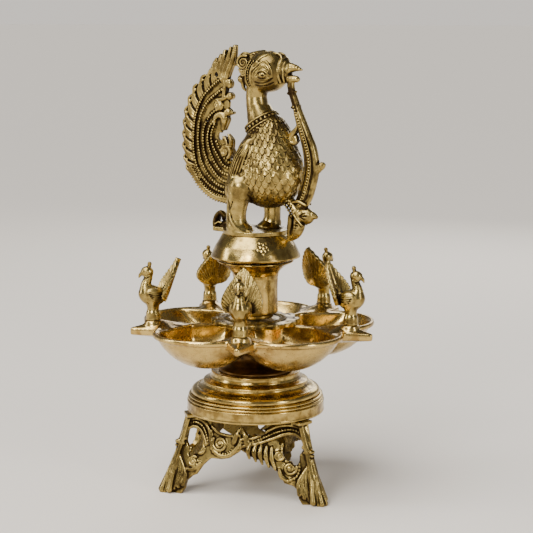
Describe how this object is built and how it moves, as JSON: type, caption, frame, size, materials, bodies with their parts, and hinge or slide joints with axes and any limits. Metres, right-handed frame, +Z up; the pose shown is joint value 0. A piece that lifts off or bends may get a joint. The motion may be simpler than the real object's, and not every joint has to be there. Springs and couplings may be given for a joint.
{
  "type": "standing oil lamp",
  "caption": "Standing brass oil lamp: pierced tripod stand, moulded plinth, ring of oil bowls with small peacocks between them, and a column with a large peacock.",
  "frame": {"origin": "on the floor, below the middle of the tie rod", "axes": "+Z up along the tie rod; the large peacock faces +X, so +Y is to its left"},
  "size_m": [0.1909, 0.187, 0.3453],
  "materials": {
    "antique_brass": "aged cast brass, rubbed bright on the high spots with brown-black patina in the recesses",
    "polished_brass": "turned and buffed brass with a soft yellow shine and light tarnish",
    "dark_brass": "unpolished brass in shadow, dark brown tarnish",
    "steel_fastener": "plain zinc-coated steel, slightly greased"
  },
  "bodies": {
    "stand": {"stand_leg_right": "antique_brass", "stand_leg_rear": "antique_brass", "stand_leg_left": "antique_brass", "stand_screws": "steel_fastener", "plinth": "polished_brass", "lower_stem": "dark_brass", "stem_nut": "steel_fastener", "tie_rod": "steel_fastener", "tie_nut": "steel_fastener"},
    "tray": {"oil_tray": "polished_brass", "lotus_disc": "antique_brass"},
    "column": {"column": "polished_brass"},
    "top": {"cap": "polished_brass", "figure_screws": "steel_fastener", "peacock_body": "antique_brass", "tail_plume": "antique_brass", "beak_garland": "antique_brass"},
    "small_peacock_1": {"finial_1": "antique_brass"},
    "small_peacock_2": {"finial_2": "antique_brass"},
    "small_peacock_3": {"finial_3": "antique_brass"},
    "small_peacock_4": {"finial_4": "antique_brass"},
    "small_peacock_5": {"finial_5": "antique_brass"}
  },
  "joints": [
    {"name": "tray_turn", "type": "hinge", "parent": "stand", "child": "tray", "pos_m": [0, 0, 0.12], "axis": [0, 0, 1], "continuous": true},
    {"name": "column_turn", "type": "hinge", "parent": "stand", "child": "column", "pos_m": [0, 0, 0.15], "axis": [0, 0, 1], "continuous": true},
    {"name": "top_turn", "type": "hinge", "parent": "stand", "child": "top", "pos_m": [0, 0, 0.19], "axis": [0, 0, 1], "continuous": true},
    {"name": "small_peacock_1_turn", "type": "hinge", "parent": "tray", "child": "small_peacock_1", "pos_m": [0.07981, 0.00558, 0.136], "axis": [0, 0, 1], "continuous": true},
    {"name": "small_peacock_2_turn", "type": "hinge", "parent": "tray", "child": "small_peacock_2", "pos_m": [0.01935, 0.07762, 0.136], "axis": [0, 0, 1], "continuous": true},
    {"name": "small_peacock_3_turn", "type": "hinge", "parent": "tray", "child": "small_peacock_3", "pos_m": [-0.06784, 0.04239, 0.136], "axis": [0, 0, 1], "continuous": true},
    {"name": "small_peacock_4_turn", "type": "hinge", "parent": "tray", "child": "small_peacock_4", "pos_m": [-0.06128, -0.05142, 0.136], "axis": [0, 0, 1], "continuous": true},
    {"name": "small_peacock_5_turn", "type": "hinge", "parent": "tray", "child": "small_peacock_5", "pos_m": [0.02997, -0.07417, 0.136], "axis": [0, 0, 1], "continuous": true}
  ]
}
